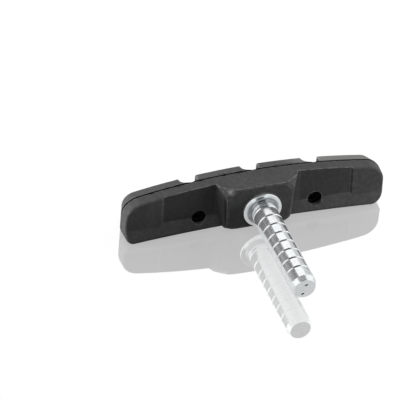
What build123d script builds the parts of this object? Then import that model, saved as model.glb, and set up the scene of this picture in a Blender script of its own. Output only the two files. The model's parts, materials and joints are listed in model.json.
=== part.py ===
from build123d import *
from math import atan, atan2, degrees, radians, sqrt, tan
import os

os.makedirs("parts", exist_ok=True)

# Millimetres. The pad is drawn lying on its braking face: x along the pad, y up the pad
# and z towards the back, with the post on the z axis and the boss face at z = 0.
# Each piece is stood upright as it is exported, so that the post points along -Y and
# the origin is at the middle of the stretch of post that a brake arm clamps.

# Rubber outline at its widest, in the parting plane, with its corners as on the braking face
left_reach = 37.1
right_reach = 36.1
top_rise = 8.0
bottom_drop = 6.05
top_arch_radius = 178.0
bottom_arch_radius = 600.0
top_left_corner = 3.75
top_right_corner = 3.55
bottom_left_corner = 0.85
bottom_right_corner = 2.15

# Rubber depths, measured from the boss face, and the draft of the sides
parting_depth = 7.0
face_depth = 11.3
face_taper = 20.5
back_taper = 3.0

# Water slots across the braking face
slot_count = 3
slot_pitch = 17.2
slot_width = 4.6
slot_floor_land = 0.3
slot_edge_chamfer = 0.25
face_edge_round = 0.5

# Parting groove round the block, and the wear marks on its sloped top
groove_width = 0.5
groove_depth = 0.45
mark_length = 5.6
mark_width = 0.45
mark_depth = 0.3
mark_offset = 0.9

# Backs of the wings: a steep upper panel over a ledge that leans out to the bottom edge
wing_top_depth = 3.8
ledge_top_depth = 3.1
ledge_height = -3.2
wing_bottom_depth = 1.6
ledge_blend = 1.5
rim_round = 0.7
recess_depth = 0.36
recess_end = 27.0
recess_end_lean = 60.0
recess_foot_step = 0.05

# Boss round the post
boss_width = 18.9
boss_foot_width = 17.6
boss_base_width = 24.3
boss_base_foot_width = 20.0
boss_top_corner = 4.2
boss_foot_corner = 3.4
boss_corner_lean = 46.0
boss_edge_inset = 0.4
boss_edge_depth = 0.45
boss_edge_lean = 65.0
boss_overrun = 0.6

# Blind holes left by the pins that hold the plate in the mould
pin_hole_spacing = 32.8
pin_hole_height = -2.3
pin_hole_diameter = 4.0

# Steel plate inside the rubber
plate_depth = 4.9
plate_thickness = 1.4
plate_margin = 1.6
rivet_land = 0.6

# Post, with its collar against the boss face and its tail riveted in the plate
post_diameter = 7.0
post_length = 33.9
collar_diameter = 10.7
collar_thickness = 0.9
collar_round = 0.35
neck_fillet = 0.9
ring_count = 8
ring_pitch = 3.6
ring_start = 3.4
ring_width = 0.6
ring_depth = 0.3
tip_length = 1.5
tip_depth = 0.6
tip_round = 0.3
shank_diameter = 6.2
tenon_diameter = 5.0
rivet_diameter = 7.0
rivet_height = 0.9

face_inset = (face_depth - parting_depth) * tan(radians(face_taper))
pad_length = left_reach + right_reach
pad_middle = (right_reach - left_reach) / 2
pad_height = top_rise + bottom_drop
panel_slope = (wing_top_depth - ledge_top_depth) / (top_rise - ledge_height)
ledge_slope = (ledge_top_depth - wing_bottom_depth) / (ledge_height + bottom_drop)
plate_front = plate_depth + plate_thickness
clamp_start = collar_thickness + neck_fillet
clamp_end = post_length - tip_length


# How far an arch has dropped at a distance from the post
def arch_drop(radius, place):
    return radius - sqrt(radius**2 - place**2)


# Arched outline of the block in the parting plane
def block_outline():
    top_left = (-left_reach, top_rise - arch_drop(top_arch_radius, left_reach))
    top_right = (right_reach, top_rise - arch_drop(top_arch_radius, right_reach))
    bottom_right = (right_reach, -bottom_drop - arch_drop(bottom_arch_radius, right_reach))
    bottom_left = (-left_reach, -bottom_drop - arch_drop(bottom_arch_radius, left_reach))
    edges = Curve() + [
        ThreePointArc(top_left, (0, top_rise), top_right),
        Line(top_right, bottom_right),
        ThreePointArc(bottom_right, (0, -bottom_drop), bottom_left),
        Line(bottom_left, top_left),
    ]
    shape = make_face(edges)
    for corner, radius in (
        (top_left, top_left_corner),
        (top_right, top_right_corner),
        (bottom_right, bottom_right_corner),
        (bottom_left, bottom_left_corner),
    ):
        shape = fillet(shape.vertices().sort_by_distance(corner)[0], radius + face_inset)
    return shape


# Block from the parting plane to another level, narrowing all round
def tapered_block(depth, taper):
    inset = abs(depth - parting_depth) * tan(radians(taper))
    wide = Pos(0, 0, -parting_depth) * block_outline()
    narrow = Pos(0, 0, -depth) * offset(block_outline(), -inset)
    return loft([wide, narrow], ruled=True)


# Prism along the pad, of a section drawn in height and depth
def prism_along(section, half_width):
    return extrude(Plane.YZ * section, half_width, both=True)


# Space behind the backs of the wings, as if the boss were not there
def wing_space():
    foot = -bottom_drop - pad_height
    head = top_rise + pad_height
    crease = (ledge_height, -ledge_top_depth)
    points = [
        (foot, -wing_bottom_depth + ledge_slope * pad_height),
        crease,
        (head, -wing_top_depth - panel_slope * pad_height),
        (head, pad_height),
        (foot, pad_height),
    ]
    section = make_face(Polyline(*points, close=True))
    section = fillet(section.vertices().sort_by_distance(crease)[0], ledge_blend)
    return prism_along(section, pad_length)


# Whether a face looks to the back more than to the sides
def looks_back(face):
    normal = face.normal_at()
    return normal.Z > max(abs(normal.X), abs(normal.Y))


# Wings with a rounded back rim
def wings(back_block):
    block = back_block - wing_space()
    backs = block.faces().filter_by(looks_back)
    rim = [edge for edge in block.edges() if sum(edge in face.edges() for face in backs) == 1]
    return fillet(rim, rim_round)


# Shallow recess in the upper panels, open at the top, with sloped ends and the ledge running on
# into it as its foot
def panel_recess():
    panel = Plane((0, ledge_height, -ledge_top_depth), x_dir=(1, 0, 0), z_dir=(0, panel_slope, 1))
    foot_slope = tan(atan(ledge_slope) - atan(panel_slope))
    levels = []
    for depth in (recess_depth, -wing_top_depth):
        half_width = recess_end - depth * tan(radians(recess_end_lean))
        foot = recess_foot_step + depth / foot_slope
        outline = Rectangle(half_width * 2, pad_height, align=(Align.CENTER, Align.MIN))
        levels.append(panel * Pos(0, foot, -depth) * outline)
    return loft(levels, ruled=True)


# Four-cornered outline of the boss, on the middle of the block and running past it above and below
def boss_outline(head_width, foot_width):
    head = top_rise + boss_overrun
    foot = -bottom_drop - boss_overrun
    corners = [
        (-foot_width / 2, foot),
        (foot_width / 2, foot),
        (head_width / 2, head),
        (-head_width / 2, head),
    ]
    return Pos(pad_middle, 0) * make_face(Polyline(*corners, close=True))


# Trim that bevels the face of the boss and rounds its corners, less and less towards the wings
def boss_trim(base_depth):
    back_face = offset(block_outline(), -parting_depth * tan(radians(back_taper)))
    outline = boss_outline(boss_width, boss_foot_width) & back_face
    for pair, radius in ((slice(-2, None), boss_top_corner), (slice(2), boss_foot_corner)):
        outline = fillet(outline.vertices().sort_by(Axis.Y)[pair], radius)
    rim_spread = boss_edge_depth * tan(radians(boss_edge_lean)) - boss_edge_inset
    base_spread = rim_spread + (base_depth - boss_edge_depth) * tan(radians(boss_corner_lean))
    face = offset(outline, -boss_edge_inset)
    rim = Pos(0, 0, -boss_edge_depth) * offset(outline, rim_spread)
    base = Pos(0, 0, -base_depth) * offset(outline, base_spread)
    return loft([base, rim], ruled=True) + loft([rim, face], ruled=True)


# Boss whose flanks flare out into the wings, with rounded corners and a bevelled face
def boss(back_block):
    base_depth = wing_top_depth + recess_depth + rim_round
    face = boss_outline(boss_width, boss_foot_width)
    base = Pos(0, 0, -base_depth) * boss_outline(boss_base_width, boss_base_foot_width)
    return loft([base, face], ruled=True) & back_block & boss_trim(base_depth)


# Slots stand evenly about the middle of the block, which is a little off the post
def slot_places():
    return [pad_middle + (i - (slot_count - 1) / 2) * slot_pitch for i in range(slot_count)]


# Edges where the slots break out through the face and the sides
def slot_rims(block):
    edges = []
    for place in slot_places():
        near = [face for face in block.faces() if abs(face.center().X - place) < slot_width]
        walls = [face for face in near if face.bounding_box().size.X < slot_width + slot_edge_chamfer]
        rims = [edge for wall in walls for edge in wall.edges()]
        edges += [edge for edge in rims if rims.count(edge) == 1]
    return edges


# Front half of the block, with a rounded face and round-bottomed slots right across it
def slotted_face():
    block = tapered_block(face_depth, face_taper)
    block = fillet(block.faces().sort_by(Axis.Z)[0].edges(), face_edge_round)
    centre = parting_depth + slot_floor_land + slot_width / 2
    section = Pos(0, -centre) * Circle(slot_width / 2)
    section += Pos(0, -centre - face_depth / 2) * Rectangle(slot_width, face_depth)
    cutter = extrude(Plane.XZ * section, pad_height * 2, both=True)
    block -= [Pos(place, 0, 0) * cutter for place in slot_places()]
    return chamfer(slot_rims(block), slot_edge_chamfer)


# Thin groove where the two halves of the mould met
def parting_groove():
    around = offset(block_outline(), groove_width)
    inside = offset(block_outline(), -groove_depth)
    return Pos(0, 0, -parting_depth) * extrude(around - inside, groove_width / 2, both=True)


# Short wear marks on the sloped top, midway between the slots
def wear_marks():
    marks = []
    for left, right in zip(slot_places(), slot_places()[1:]):
        place = (left + right) / 2
        lean = degrees(atan2(place, top_arch_radius))
        height = top_rise - arch_drop(top_arch_radius, place)
        height -= mark_offset * tan(radians(face_taper))
        bar = Box(mark_length, mark_depth * 2, mark_width)
        marks.append(Pos(place, height, -parting_depth - mark_offset) * Rot(-face_taper, 0, -lean) * bar)
    return marks


def pin_places():
    return [(side * pin_hole_spacing / 2, pin_hole_height) for side in (-1, 1)]


# Plate that follows the outline of the block and is wide enough for the riveted tail
def plate_slab():
    shape = offset(block_outline(), -plate_margin) + Circle(rivet_diameter / 2 + rivet_land)
    return Pos(0, 0, -plate_front) * extrude(shape, plate_thickness)


# Space that the steel takes up in the rubber, with the holes of the mould pins
def steel_space():
    shank = Pos(0, 0, -plate_depth) * extrude(Circle(shank_diameter / 2), plate_depth)
    pin = Pos(0, 0, -plate_front) * extrude(Circle(pin_hole_diameter / 2), plate_front)
    return [plate_slab(), shank] + [Pos(x, y, 0) * pin for x, y in pin_places()]


def pad_block():
    back_block = tapered_block(0, back_taper)
    block = wings(back_block) - panel_recess() + boss(back_block) + slotted_face()
    return block - [parting_groove()] - wear_marks() - steel_space()


def backing_plate():
    pin = Pos(0, 0, -plate_front) * extrude(Circle(pin_hole_diameter / 2), plate_thickness)
    return plate_slab() - [Pos(x, y, 0) * pin for x, y in pin_places()] - post()


# Post turned from one profile of radius and height, with its ring grooves
def post():
    radius = post_diameter / 2
    shank = shank_diameter / 2
    tenon = tenon_diameter / 2
    collar = collar_diameter / 2
    points = [
        (0, -plate_front),
        (rivet_diameter / 2, -plate_front),
        (tenon, -plate_front + rivet_height),
        (tenon, -plate_depth),
        (shank, -plate_depth),
        (shank, 0),
        (collar, 0),
        (collar, collar_thickness),
        (radius, collar_thickness),
        (radius, clamp_end),
        (radius - tip_depth, post_length),
        (0, post_length),
    ]
    profile = make_face(Polyline(*points, close=True))
    for corner, size in (
        ((collar, collar_thickness), collar_round),
        ((radius, collar_thickness), neck_fillet),
        ((radius, clamp_end), tip_round),
        ((radius - tip_depth, post_length), tip_round),
    ):
        profile = fillet(profile.vertices().sort_by_distance(corner)[0], size)
    ring = make_face(Polyline((0, -ring_width / 2), (-ring_depth, 0), (0, ring_width / 2), close=True))
    profile -= [Pos(radius, ring_start + i * ring_pitch) * ring for i in range(ring_count)]
    return revolve(Plane.XZ * profile, Axis.Z)


upright = Pos(0, (clamp_start + clamp_end) / 2, 0) * Rot(90, 0, 0)
pieces = {
    "pad_block": pad_block(),
    "backing_plate": backing_plate(),
    "post": post(),
}
for name, piece in pieces.items():
    export_step(upright * piece, f"parts/{name}.step")
    print(name, round(piece.volume, 2), piece.is_valid, len(piece.solids()))
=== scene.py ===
import json
import math
import bpy
from mathutils import Matrix, Vector


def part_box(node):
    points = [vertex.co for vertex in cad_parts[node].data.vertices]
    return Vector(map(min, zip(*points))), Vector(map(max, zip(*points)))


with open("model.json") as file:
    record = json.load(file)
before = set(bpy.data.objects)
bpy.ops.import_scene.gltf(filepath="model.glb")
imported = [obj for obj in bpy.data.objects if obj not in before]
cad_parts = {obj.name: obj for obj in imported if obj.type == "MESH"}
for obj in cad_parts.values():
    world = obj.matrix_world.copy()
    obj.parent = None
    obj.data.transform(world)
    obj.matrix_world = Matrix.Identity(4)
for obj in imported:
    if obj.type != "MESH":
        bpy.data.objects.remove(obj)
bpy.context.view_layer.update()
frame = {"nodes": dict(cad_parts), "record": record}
print("frame loaded:", ", ".join(sorted(frame["nodes"])))

millimetre = 0.001
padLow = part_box("pad_block")[0]
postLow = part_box("post")[0]
postMount = next(mount for mount in frame["record"]["mounts"] if mount["name"] == "post")
postRadius = postMount["dims"]["r_mm"]  # millimetres, like every size inside the materials
bossFace = padLow.y / millimetre
postTip = postLow.y / millimetre
bossCentre = Vector((0, padLow.y, 0))  # where the axis of the post meets the face of the boss


# a value in a node tree: arithmetic on it adds Math nodes
class Value:
    def __init__(self, tree, socket):
        self.tree = tree
        self.socket = socket

    def maths(self, operation, *values):
        return self.tree.add("ShaderNodeMath", {"operation": operation}, dict(enumerate(values)))

    def __add__(self, other):
        return self.maths("ADD", self, other)

    def __radd__(self, other):
        return self.maths("ADD", other, self)

    def __sub__(self, other):
        return self.maths("SUBTRACT", self, other)

    def __rsub__(self, other):
        return self.maths("SUBTRACT", other, self)

    def __mul__(self, other):
        return self.maths("MULTIPLY", self, other)

    def __rmul__(self, other):
        return self.maths("MULTIPLY", other, self)

    def __truediv__(self, other):
        return self.maths("DIVIDE", self, other)

    def __abs__(self):
        return self.maths("ABSOLUTE", self)

    def larger(self, other):
        return self.maths("MAXIMUM", self, other)

    def hypotenuse(self, other):
        return self.maths("SQRT", self * self + other * other)

    def fade(self, start, end):  # 0 at start, 1 at end, smooth between
        settings = {"interpolation_type": "SMOOTHSTEP"}
        sockets = {"Value": self, "From Min": start, "From Max": end}
        return self.tree.add("ShaderNodeMapRange", settings, sockets)


# a node tree being wired, for a material or the world
class Wiring:
    def __init__(self, owner):
        owner.use_nodes = True
        self.nodes = owner.node_tree.nodes
        self.links = owner.node_tree.links
        self.nodes.clear()

    def add(self, kind, settings=None, sockets=None, output=0):
        node = self.nodes.new(kind)
        for name, setting in (settings or {}).items():
            setattr(node, name, setting)
        for name, value in (sockets or {}).items():
            if isinstance(value, Value):
                self.links.new(value.socket, node.inputs[name])
            else:
                node.inputs[name].default_value = value
        return Value(self, node.outputs[output])

    def place(self):  # object coordinates in millimetres
        spot = self.add("ShaderNodeTexCoord", output="Object")
        return self.vector("SCALE", spot, Scale=1 / millimetre)

    def vector(self, operation, first, second=None, output=0, **sockets):
        sockets[0] = first
        if second is not None:
            sockets[1] = second
        return self.add("ShaderNodeVectorMath", {"operation": operation}, sockets, output)

    def axes(self, spot):
        return [self.add("ShaderNodeSeparateXYZ", None, {0: spot}, axis) for axis in "XYZ"]

    def noise(self, spot, period, detail=2.0, rough=0.5):  # period in millimetres
        sockets = {"Vector": spot, "Scale": 1 / period, "Detail": detail, "Roughness": rough}
        return self.add("ShaderNodeTexNoise", None, sockets)

    def ray(self, kind):  # 1 for rays of that kind
        return self.add("ShaderNodeLightPath", output=kind)

    def blend(self, share, first, second):  # colours
        sockets = {"Factor": share, 6: first, 7: second}
        return self.add("ShaderNodeMix", {"data_type": "RGBA"}, sockets, 2)

    def bump(self, height, depth, strength=1.0, normal=None):  # depth in millimetres
        sockets = {"Height": height, "Distance": depth * millimetre, "Strength": strength}
        if normal is not None:
            sockets["Normal"] = normal
        return self.add("ShaderNodeBump", None, sockets)

    def finish(self, shader, kind="ShaderNodeOutputMaterial"):
        output = self.nodes.new(kind)
        self.links.new(shader.socket, output.inputs["Surface"])


def newMaterial(name):
    material = bpy.data.materials.new(name)
    return material, Wiring(material)


def dress(node, material):
    slots = frame["nodes"][node].data.materials
    slots.clear()
    slots.append(material)


# moulded black rubber: sizes in millimetres, depths from the face of the boss
rubber = {
    "black": (0.034, 0.034, 0.0345, 1),
    "grey": (0.052, 0.052, 0.0525, 1),  # bloom in the moulded skin
    "panel": (0.022, 0.022, 0.0225, 1),  # darker on the recessed panels
    "rubbedAndLit": (0.2, 0.2, 0.202, 1),  # edges with wear and painted highlight, and the painted glint on the boss's corner
    # specks of dust, and the painted sheen on the sloped top
    "dustAndSheen": (0.16, 0.16, 0.155, 1),
    "shadeBlack": (0.002, 0.002, 0.002, 1),  # painted shade down the holes, in corners, in the crease and along the parting line
    "roughness": 0.6,
    "specular": 0.17,
    "bloomPeriod": 11.0,
    "mottlePeriod": 1.1,
    "mottleRelief": 0.02,
    "grainPeriod": 0.17,
    "grainRelief": 0.004,
    "speckSpread": 0.55,  # specks of dust per millimetre
    "speckShare": 0.5,
    "edgeRadius": 0.4,
    "edgeShare": 0.5,
    "cornerReach": 2.0,  # how far off a wall the painted shade in a corner reaches
    "panelStart": 11.9,  # from the post to where the recessed panels begin
    "panelReach": 26.3,  # from the post to the end of a recessed panel
    "panelFoot": -2.3,  # height of the crease under it
    "panelDepth": 2.7,  # just short of its floor
    "panelShare": 0.4,
    "pinReach": 16.4,  # from the post to the axis of a pin hole
    "pinHeight": -2.3,
    "pinRadius": 2.0,
    "pinLip": 3.9,  # below the lower lip of the hole
    "pinFloor": 6.5,
    "seamDepth": 7.0,
    "seamWidth": 0.32,
    "seamRagged": 0.6,  # how much wider the flash makes it in places
    "seamRelief": 0.12,
    "creaseDepth": 0.95,  # middle of the painted shade in the crease down each flank of the boss
    "creaseWidth": 0.4,
    "creaseShare": 0.75,
    "cornerGlint": (-8.8, 6.8),  # painted highlight: a glint on a corner of the boss, across and up
    "cornerGlintShare": 0.7,
    "sheenDepth": 7.3,  # painted sheen on the sloped top, growing between two places along it
    "sheenSpan": (6.0, 18.0),
    "sheenShare": 0.62,
}


def rubberMaterial():
    material, wiring = newMaterial("mouldedRubber")
    spot = wiring.place()
    x, y, z = wiring.axes(spot)
    sideways = abs(x)
    depth = y - bossFace
    flat = wiring.add("ShaderNodeNewGeometry", output="Normal")
    lookingAcross, lookingAlong, lookingUp = wiring.axes(flat)
    bloom = wiring.noise(spot, rubber["bloomPeriod"], 3.0)
    mottle = wiring.noise(spot, rubber["mottlePeriod"], 4.0, 0.6)
    grain = wiring.noise(spot, rubber["grainPeriod"])

    # edge wear with painted highlight, a painted glint on a corner of the boss, and specks of dust
    soft = wiring.add("ShaderNodeBevel", {"samples": 8}, {"Radius": rubber["edgeRadius"] * millimetre})
    edge = (1 - wiring.vector("DOT_PRODUCT", soft, flat, "Value")).fade(0.004, 0.04)
    shade = wiring.add("ShaderNodeAmbientOcclusion", {"samples": 8, "only_local": True},
                       {"Distance": rubber["cornerReach"] * millimetre}, "AO")
    # painted highlight along convex edges, mixed with real edge wear
    wornAndLit = edge * shade.fade(0.75, 1.0) * mottle.fade(0.3, 0.6)
    glintAcross, glintUp = rubber["cornerGlint"]
    fromGlint = (x - glintAcross).hypotenuse(z - glintUp)
    # painted highlight on the boss's corner
    cornerGlint = fromGlint.fade(1.2, 0.2) * depth.fade(1.8, 1.2) * mottle.fade(0.2, 0.55)
    flecks = wiring.add("ShaderNodeTexVoronoi", None,
                        {"Vector": spot, "Scale": rubber["speckSpread"]}, "Distance")
    speck = flecks.fade(0.035, 0.02) * bloom.fade(0.5, 0.62)
    # painted sheen on the upward faces of the sloped top, growing towards the right
    topSheen = depth.fade(rubber["sheenDepth"], rubber["sheenDepth"] + 0.5)
    topSheen = topSheen * lookingUp.fade(0.5, 0.75) * x.fade(*rubber["sheenSpan"])

    # the recessed panels
    panel = lookingAlong.fade(-0.95, -0.985)
    panel = panel * sideways.fade(rubber["panelReach"], rubber["panelReach"] - 0.3)
    panel = panel * sideways.fade(rubber["panelStart"], rubber["panelStart"] + 0.2)
    panel = panel * z.fade(rubber["panelFoot"], rubber["panelFoot"] + 0.4)
    panel = panel * depth.fade(rubber["panelDepth"], rubber["panelDepth"] + 0.2)

    # painted shade along the parting line with its ragged flash, fainter towards the right end
    ragged = wiring.noise(wiring.vector("MULTIPLY", spot, (1, 0.2, 1)), 1.3, 4.0, 0.7)
    reach = rubber["seamWidth"] + rubber["seamRagged"] * ragged.fade(0.48, 0.8)
    seam = (abs(depth - rubber["seamDepth"]) / reach).fade(1.25, 0.75)
    seam = seam * lookingAlong.fade(0.8, 0.5)
    seam = seam * (1 - 0.4 * x.fade(2.0, 14.0)) * (0.7 + 0.3 * mottle.fade(0.4, 0.55))

    # painted shade down the pin holes, in tight corners and in the crease beside the boss
    fromPin = (sideways - rubber["pinReach"]).hypotenuse(z - rubber["pinHeight"])
    inside = fromPin.fade(rubber["pinRadius"] + 0.08, rubber["pinRadius"] + 0.03)
    inside = inside * depth.fade(rubber["pinFloor"], rubber["pinFloor"] - 0.5)
    lip = inside * depth.fade(rubber["pinLip"], rubber["pinLip"] - 0.4)
    # painted shade in corners and down the holes, less at the lower lip
    dark = shade.fade(0.55, 0.2).larger(inside) - 0.9 * lip
    # painted shade in the crease down each flank of the boss
    crease = (abs(depth - rubber["creaseDepth"]) / rubber["creaseWidth"]).fade(1.3, 0.6)
    crease = crease * abs(lookingAcross).fade(0.5, 0.75)
    crease = crease * sideways.fade(13.0, 12.0) * z.fade(5.5, 3.5)

    colour = wiring.blend(bloom.fade(0.3, 0.75) * 0.4 + mottle.fade(0.4, 0.62) * 0.6,
                          rubber["black"], rubber["grey"])
    layers = (  # from the skin outwards
        (panel * rubber["panelShare"], "panel"),
        (wornAndLit * rubber["edgeShare"], "rubbedAndLit"),
        (cornerGlint * rubber["cornerGlintShare"], "rubbedAndLit"),
        (speck * rubber["speckShare"], "dustAndSheen"),
        (dark, "shadeBlack"),
        (seam, "shadeBlack"),
        (crease * rubber["creaseShare"], "shadeBlack"),
        (topSheen * rubber["sheenShare"], "dustAndSheen"),
    )
    for share, finish in layers:
        colour = wiring.blend(share, colour, rubber[finish])
    rough = rubber["roughness"] + 0.14 * (mottle - 0.5) + 0.1 * (grain - 0.5)
    rough = rough - 0.06 * wornAndLit + 0.2 * panel
    skin = wiring.bump(mottle, rubber["mottleRelief"], 0.6)
    skin = wiring.bump(grain, rubber["grainRelief"], 0.5, skin)
    skin = wiring.bump(1 - seam, rubber["seamRelief"], 1.0, skin)
    shader = wiring.add("ShaderNodeBsdfPrincipled", None, {
        "Base Color": colour, "Roughness": rough, "Normal": skin,
        "Specular IOR Level": rubber["specular"]})
    wiring.finish(shader)
    return material


# bright zinc plate on the post, sizes in millimetres
zinc = {
    "bright": (0.92, 0.95, 0.96, 1),
    "cloudy": (0.55, 0.58, 0.6, 1),
    "groove": (0.45, 0.47, 0.49, 1),
    "neckReflection": (0.16, 0.175, 0.185, 1),  # painted dark reflection in the corner of the collar
    "neckRadius": 4.3,
    "pip": (0.03, 0.03, 0.03, 1),
    "pips": ((0.28, 1.17), (-0.55, -1.62)),  # tool marks on the end, across and up
    "pipRadius": 0.32,
    "pipStretch": 0.55,
    "pipTilt": (0.93, 0.36),  # across and up
    "metallic": 0.92,
    "roughness": 0.14,
    "cloudPeriod": 2.6,
    "finePeriod": 0.5,
    "fineRelief": 0.004,
    "turnedRelief": 0.003,  # rings left by the lathe
}


def zincMaterial():
    material, wiring = newMaterial("brightZinc")
    spot = wiring.place()
    x, y, z = wiring.axes(spot)
    radius = x.hypotenuse(z)
    cloud = wiring.noise(spot, zinc["cloudPeriod"], 3.0)
    fine = wiring.noise(spot, zinc["finePeriod"], 3.0, 0.6)
    turned = wiring.noise(wiring.vector("MULTIPLY", spot, (0.25, 9.0, 0.25)), 1.0)

    # the parts of the post: shaft, ring grooves, end and the corner of the collar
    onPost = y.fade(bossFace - 1.5, bossFace - 2.0)
    onEnd = y.fade(postTip + 0.3, postTip + 0.1)
    groove = radius.fade(postRadius - 0.16, postRadius - 0.28) * onPost
    groove = groove * (1 - y.fade(postTip + 2.2, postTip + 1.6))
    neckReflection = radius.fade(zinc["neckRadius"] + 0.4, zinc["neckRadius"] - 0.2) * (1 - onPost)

    colour = wiring.blend(cloud.fade(0.35, 0.7) * 0.12 + fine.fade(0.42, 0.62) * 0.16,
                          zinc["bright"], zinc["cloudy"])
    # painted shade: darker in the ring grooves
    colour = wiring.blend(groove * 0.5, colour, zinc["groove"])
    # painted dark reflection in the corner of the collar
    colour = wiring.blend(neckReflection * (0.6 + 0.4 * cloud), colour, zinc["neckReflection"])
    tiltAcross, tiltUp = zinc["pipTilt"]
    for across, up in zinc["pips"]:
        along = (x - across) * tiltAcross + (z - up) * tiltUp
        aside = (z - up) * tiltAcross - (x - across) * tiltUp
        away = (along * zinc["pipStretch"]).hypotenuse(aside)
        pip = away.fade(zinc["pipRadius"], zinc["pipRadius"] * 0.6) * onEnd
        colour = wiring.blend(pip, colour, zinc["pip"])
    rough = zinc["roughness"] + 0.06 * cloud.fade(0.35, 0.75) + 0.2 * fine.fade(0.5, 0.68) * onPost
    rough = rough + 0.1 * groove
    skin = wiring.bump(fine * (0.2 + 0.8 * onPost), zinc["fineRelief"], 0.5)
    skin = wiring.bump(turned * onPost, zinc["turnedRelief"], 0.4, skin)
    shader = wiring.add("ShaderNodeBsdfPrincipled", None, {
        "Base Color": colour, "Roughness": rough, "Normal": skin, "Metallic": zinc["metallic"]})
    wiring.finish(shader)
    return material


# dark bonding primer on the plate, seen only down the pin holes
primer = {
    "dark": (0.012, 0.012, 0.013, 1),
    "thin": (0.03, 0.029, 0.028, 1),
    "roughness": 0.55,
    "coverPeriod": 0.8,  # millimetres
    "coverRelief": 0.02,
}


def primerMaterial():
    material, wiring = newMaterial("bondingPrimer")
    cover = wiring.noise(wiring.place(), primer["coverPeriod"], 4.0, 0.6)
    colour = wiring.blend(cover.fade(0.4, 0.7), primer["dark"], primer["thin"])
    shader = wiring.add("ShaderNodeBsdfPrincipled", None, {
        "Base Color": colour, "Roughness": primer["roughness"] + 0.3 * cover,
        "Normal": wiring.bump(cover, primer["coverRelief"])})
    wiring.finish(shader)
    return material


dress("pad_block", rubberMaterial())
dress("post", zincMaterial())
dress("backing_plate", primerMaterial())
print("materials: rubber, zinc, primer")

# white studio: the floor is a pale gloss sheet and the world behind it is white
studio = {
    "floorSize": 4.0,  # metres
    "floorGap": 0.00002,  # metres under the lowest point of the pad
    "floorPale": (0.1, 0.1, 0.1, 1),
    "floorGlow": 1.06,  # what the camera sees
    "floorSheen": 0.5,  # what metal and glass see
    "floorMirror": (0.85, 0.85, 0.85, 1),
    "floorGloss": 0.57,  # share of the mirror
    "white": (1, 1, 1, 1),
    "ambient": 0.03,
    "unlit": 0.97,  # how dark the darkest parts of the room are to metal and glass
    "rightShare": 0.45,  # of that, on the right
    "overheadShare": 0.75,
    "front": (0.05, -0.72, 0.69),  # towards the dark spot in front
}


def seenRay(wiring, mirrored):  # 1 for camera rays, the mirrored level for mirror and glass rays
    seen = wiring.ray("Is Camera Ray")
    for kind in ("Is Glossy Ray", "Is Transmission Ray"):
        seen = seen.larger(mirrored * wiring.ray(kind))
    return seen


def floorMaterial():
    material, wiring = newMaterial("paleGlossFloor")
    pale = wiring.add("ShaderNodeBsdfDiffuse", None, {"Color": studio["floorPale"]})
    seen = seenRay(wiring, studio["floorSheen"] / studio["floorGlow"])
    glow = wiring.add("ShaderNodeEmission", None, {"Strength": seen * studio["floorGlow"]})
    base = wiring.add("ShaderNodeAddShader", None, {0: pale, 1: glow})
    gloss = wiring.add("ShaderNodeBsdfGlossy", None, {"Color": studio["floorMirror"], "Roughness": 0.0})
    share = studio["floorGloss"] * wiring.ray("Is Camera Ray")
    shader = wiring.add("ShaderNodeMixShader", None, {"Fac": share, 1: base, 2: gloss})
    behind = wiring.add("ShaderNodeNewGeometry", output="Backfacing")
    clear = wiring.add("ShaderNodeBsdfTransparent")
    wiring.finish(wiring.add("ShaderNodeMixShader", None, {"Fac": behind, 1: shader, 2: clear}))
    return material


bpy.ops.object.select_all(action="DESELECT")
bpy.ops.mesh.primitive_plane_add(size=studio["floorSize"], location=(0, 0, padLow.z - studio["floorGap"]))
floor = bpy.context.object
floor.name = "floor"
floor.data.materials.append(floorMaterial())


# white to the camera, with the dark parts that the plated post mirrors
def lightWorld(world):
    sky = Wiring(world)
    direction = sky.add("ShaderNodeTexCoord", output="Generated")
    x, y, z = sky.axes(direction)
    dark = z.fade(0.7, 0.64) * x.fade(-0.22, -0.28) * y.fade(0.3, 0.5)  # low at the back left
    dark = dark * (0.8 + 0.2 * z.fade(0.1, 0.6))
    right = studio["rightShare"] * x.fade(0.45, 0.54) * y.fade(0.5, 0.6)
    overhead = studio["overheadShare"] * z.fade(0.72, 0.84) * x.fade(0.5, 0.35) * y.fade(0.5, 0.35)
    front = sky.vector("DOT_PRODUCT", direction, studio["front"], "Value").fade(0.84, 0.93)
    for zone in (right, overhead, front):
        dark = dark.larger(zone)
    dark = dark * (1 - sky.ray("Is Singular Ray"))  # none in the floor's own sharp mirror
    strength = seenRay(sky, 1 - studio["unlit"] * dark).larger(studio["ambient"])
    background = sky.add("ShaderNodeBackground", None, {"Color": studio["white"], "Strength": strength})
    sky.finish(background, "ShaderNodeOutputWorld")


world = bpy.context.scene.world or bpy.data.worlds.new("studio")
bpy.context.scene.world = world
lightWorld(world)

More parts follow.
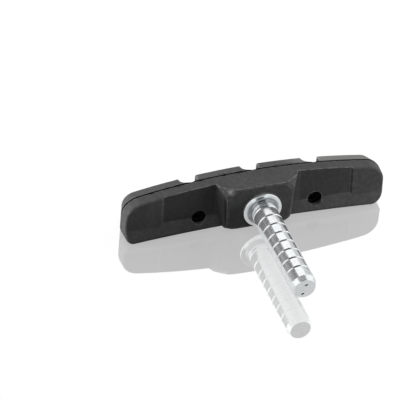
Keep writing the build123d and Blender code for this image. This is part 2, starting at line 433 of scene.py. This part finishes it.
lamps = {  # places and sizes in metres, from the face of the boss, which they face; power in watts
    "overheadSoftbox": {"place": (0.0, -0.13, 0.57), "size": 0.3, "power": 2.1},
    "leftSoftbox": {"place": (-0.57, 0.18, 0.05), "size": 0.2, "power": 11.0},
    "leftFill": {"place": (-0.6, 0.0, 0.12), "size": 0.3, "power": 2.3},
    "rightSoftbox": {"place": (0.6, 0.0, 0.15), "size": 0.3, "power": 1.5},
    "rightCard": {"place": (0.12, -0.06, 0.03), "size": 0.05, "power": 0.16},
    "backCard": {"place": (0.15, 0.1, 0.15), "size": 0.08, "power": 0.25},
    "backSoftbox": {"place": (0.06, 0.4, 0.36), "size": 0.4, "power": 0.35},
}
for name, lamp in lamps.items():
    light = bpy.data.lights.new(name, "AREA")
    light.size = lamp["size"]
    light.energy = lamp["power"]
    holder = bpy.data.objects.new(name, light)
    holder.location = bossCentre + Vector(lamp["place"])
    holder.visible_glossy = False  # mirrors show the room, not the lamps
    holder.rotation_euler = (-Vector(lamp["place"])).to_track_quat("-Z", "Y").to_euler()
    bpy.context.scene.collection.objects.link(holder)
print("studio: floor, white world and", len(lamps), "soft lamps")

camera = {
    "azimuth": -21.4,  # degrees
    "elevation": 38.8,
    "roll": -4.5,
    "distance": 1.0,  # metres
    "clipEnd": 10,
    "lens": 339.3,  # millimetres, on a 36 mm sensor
    "centre": (-0.01642, 0.00228),  # picture's middle from the boss, across and up, in metres
}


def addCamera():
    azimuth = math.radians(camera["azimuth"])
    elevation = math.radians(camera["elevation"])
    right = Vector((math.cos(azimuth), math.sin(azimuth), 0))
    back = Vector((math.sin(azimuth) * math.cos(elevation), -math.cos(azimuth) * math.cos(elevation),
                   math.sin(elevation)))
    level = Matrix.Identity(3)
    level.col[0] = right
    level.col[1] = back.cross(right)
    level.col[2] = back
    turned = level @ Matrix.Rotation(math.radians(camera["roll"]), 3, "Z").inverted()
    across, up = camera["centre"]
    place = bossCentre + back * camera["distance"] + turned.col[0] * across + turned.col[1] * up
    data = bpy.data.cameras.new("camera")
    data.lens = camera["lens"]
    data.clip_end = camera["clipEnd"]
    holder = bpy.data.objects.new("camera", data)
    holder.matrix_world = Matrix.Translation(place) @ turned.to_4x4()
    bpy.context.scene.collection.objects.link(holder)
    bpy.context.scene.camera = holder


addCamera()
bpy.context.scene.view_settings.view_transform = "Standard"
print("camera set")
